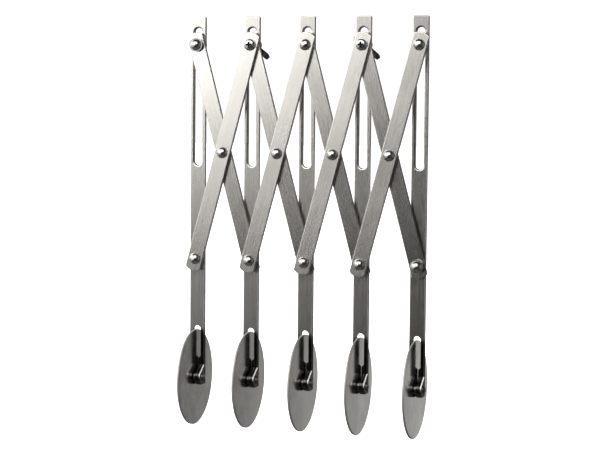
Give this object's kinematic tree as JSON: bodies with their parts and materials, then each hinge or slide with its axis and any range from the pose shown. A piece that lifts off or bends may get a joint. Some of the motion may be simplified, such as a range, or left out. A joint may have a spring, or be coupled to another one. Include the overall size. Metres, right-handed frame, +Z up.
{
  "type": "expandable pastry cutter",
  "caption": "Hand-held pastry divider: flat bars joined by a lattice of crossed links, each with a free-turning cutting wheel in a forked foot; opening the lattice sets one even wheel spacing.",
  "frame": {"origin": "on the work surface, straight below the middle wheel's axle, with the lattice at its rest spacing", "axes": "+X along the row of wheels, +Y towards the back (the wing nuts' side), +Z up along the bars"},
  "size_m": [0.1438, 0.055, 0.235],
  "materials": {
    "brushed_strip": "stainless strip, satin with its grain along the length",
    "satin_wheel": "stainless disc, fine circular satin",
    "polished_rivet": "polished stainless",
    "plain_washer": "plain turned stainless",
    "lock_screw": "bright zinc, a little dull in the recess",
    "wing_nut": "cast and tumbled, satin"
  },
  "bodies": {
    "bar_1": {"bar_1": "brushed_strip", "bottom_rivet_1": "polished_rivet", "axle_1": "polished_rivet", "bottom_spacer_1": "plain_washer"},
    "bar_2": {"bar_2": "brushed_strip", "bottom_rivet_2": "polished_rivet", "axle_2": "polished_rivet"},
    "bar_3": {"bar_3": "brushed_strip", "bottom_rivet_3": "polished_rivet", "axle_3": "polished_rivet"},
    "bar_4": {"bar_4": "brushed_strip", "bottom_rivet_4": "polished_rivet", "axle_4": "polished_rivet"},
    "bar_5": {"bar_5": "brushed_strip", "bottom_rivet_5": "polished_rivet", "axle_5": "polished_rivet", "bottom_spacer_5": "plain_washer"},
    "front_link_1": {"front_link_1": "brushed_strip", "mid_rivet_1": "polished_rivet", "lock_screw_2": "lock_screw", "top_washer_2": "plain_washer"},
    "back_link_1": {"back_link_1": "brushed_strip", "top_rivet_1": "polished_rivet", "top_washer_1": "plain_washer", "top_spacer_1": "plain_washer"},
    "front_link_2": {"front_link_2": "brushed_strip", "mid_rivet_2": "polished_rivet", "top_rivet_3": "polished_rivet", "top_washer_3": "plain_washer"},
    "back_link_2": {"back_link_2": "brushed_strip"},
    "front_link_3": {"front_link_3": "brushed_strip", "mid_rivet_3": "polished_rivet", "lock_screw_4": "lock_screw", "top_washer_4": "plain_washer"},
    "back_link_3": {"back_link_3": "brushed_strip"},
    "front_link_4": {"front_link_4": "brushed_strip", "mid_rivet_4": "polished_rivet", "top_rivet_5": "polished_rivet", "top_washer_5": "plain_washer", "top_spacer_5": "plain_washer"},
    "back_link_4": {"back_link_4": "brushed_strip"},
    "wheel_1": {"wheel_1": "satin_wheel", "bushes_1": "polished_rivet"},
    "wheel_2": {"wheel_2": "satin_wheel", "bushes_2": "polished_rivet"},
    "wheel_3": {"wheel_3": "satin_wheel", "bushes_3": "polished_rivet"},
    "wheel_4": {"wheel_4": "satin_wheel", "bushes_4": "polished_rivet"},
    "wheel_5": {"wheel_5": "satin_wheel", "bushes_5": "polished_rivet"},
    "wing_nut_2": {"wing_nut_2": "wing_nut"},
    "wing_nut_4": {"wing_nut_4": "wing_nut"}
  },
  "joints": [
    {"name": "lattice_open", "type": "hinge", "parent": "bar_3", "child": "front_link_3", "pos_m": [0, 0.0032, 0.0962], "axis": [0, 1, 0], "range_deg": [-9.1, 48.8]},
    {"name": "back_link_3_cross", "type": "hinge", "parent": "front_link_3", "child": "back_link_3", "pos_m": [0.0164, 0.0032, 0.15755], "axis": [0, 1, 0], "range_deg": [-97.6, 18.2]},
    {"name": "bar_4_upright", "type": "hinge", "parent": "back_link_3", "child": "bar_4", "pos_m": [0.0328, 0.0032, 0.0962], "axis": [0, 1, 0], "range_deg": [-9.1, 48.8]},
    {"name": "front_link_4_swing", "type": "hinge", "parent": "bar_4", "child": "front_link_4", "pos_m": [0.0328, 0.0032, 0.0962], "axis": [0, 1, 0], "range_deg": [-9.1, 48.8]},
    {"name": "back_link_4_cross", "type": "hinge", "parent": "front_link_4", "child": "back_link_4", "pos_m": [0.0492, 0.0032, 0.15755], "axis": [0, 1, 0], "range_deg": [-97.6, 18.2]},
    {"name": "bar_5_upright", "type": "hinge", "parent": "back_link_4", "child": "bar_5", "pos_m": [0.0656, 0.0032, 0.0962], "axis": [0, 1, 0], "range_deg": [-9.1, 48.8]},
    {"name": "back_link_2_swing", "type": "hinge", "parent": "bar_3", "child": "back_link_2", "pos_m": [0, 0.0032, 0.0962], "axis": [0, 1, 0], "range_deg": [-48.8, 9.1]},
    {"name": "front_link_2_cross", "type": "hinge", "parent": "back_link_2", "child": "front_link_2", "pos_m": [-0.0164, 0.0032, 0.15755], "axis": [0, 1, 0], "range_deg": [-18.2, 97.6]},
    {"name": "bar_2_upright", "type": "hinge", "parent": "front_link_2", "child": "bar_2", "pos_m": [-0.0328, 0.0032, 0.0962], "axis": [0, 1, 0], "range_deg": [-48.8, 9.1]},
    {"name": "back_link_1_swing", "type": "hinge", "parent": "bar_2", "child": "back_link_1", "pos_m": [-0.0328, 0.0032, 0.0962], "axis": [0, 1, 0], "range_deg": [-48.8, 9.1]},
    {"name": "front_link_1_cross", "type": "hinge", "parent": "back_link_1", "child": "front_link_1", "pos_m": [-0.0492, 0.0032, 0.15755], "axis": [0, 1, 0], "range_deg": [-18.2, 97.6]},
    {"name": "bar_1_upright", "type": "hinge", "parent": "front_link_1", "child": "bar_1", "pos_m": [-0.0656, 0.0032, 0.0962], "axis": [0, 1, 0], "range_deg": [-48.8, 9.1]},
    {"name": "wheel_1_spin", "type": "hinge", "parent": "bar_1", "child": "wheel_1", "pos_m": [-0.0656, 0, 0.0275], "axis": [1, 0, 0], "continuous": true},
    {"name": "wheel_2_spin", "type": "hinge", "parent": "bar_2", "child": "wheel_2", "pos_m": [-0.0328, 0, 0.0275], "axis": [1, 0, 0], "continuous": true},
    {"name": "wheel_3_spin", "type": "hinge", "parent": "bar_3", "child": "wheel_3", "pos_m": [0, 0, 0.0275], "axis": [1, 0, 0], "continuous": true},
    {"name": "wheel_4_spin", "type": "hinge", "parent": "bar_4", "child": "wheel_4", "pos_m": [0.0328, 0, 0.0275], "axis": [1, 0, 0], "continuous": true},
    {"name": "wheel_5_spin", "type": "hinge", "parent": "bar_5", "child": "wheel_5", "pos_m": [0.0656, 0, 0.0275], "axis": [1, 0, 0], "continuous": true},
    {"name": "wing_nut_2_turn", "type": "hinge", "parent": "front_link_1", "child": "wing_nut_2", "pos_m": [-0.0328, 0.0084, 0.21889], "axis": [0, 1, 0], "continuous": true},
    {"name": "wing_nut_4_turn", "type": "hinge", "parent": "front_link_3", "child": "wing_nut_4", "pos_m": [0.0328, 0.0084, 0.21889], "axis": [0, 1, 0], "continuous": true}
  ],
  "couplings": [
    {"joint": "back_link_3_cross", "follows": "lattice_open", "ratio": -2},
    {"joint": "bar_4_upright", "follows": "lattice_open", "ratio": 1},
    {"joint": "front_link_4_swing", "follows": "lattice_open", "ratio": 1},
    {"joint": "back_link_4_cross", "follows": "lattice_open", "ratio": -2},
    {"joint": "bar_5_upright", "follows": "lattice_open", "ratio": 1},
    {"joint": "back_link_2_swing", "follows": "lattice_open", "ratio": -1},
    {"joint": "front_link_2_cross", "follows": "lattice_open", "ratio": 2},
    {"joint": "bar_2_upright", "follows": "lattice_open", "ratio": -1},
    {"joint": "back_link_1_swing", "follows": "lattice_open", "ratio": -1},
    {"joint": "front_link_1_cross", "follows": "lattice_open", "ratio": 2},
    {"joint": "bar_1_upright", "follows": "lattice_open", "ratio": -1}
  ]
}
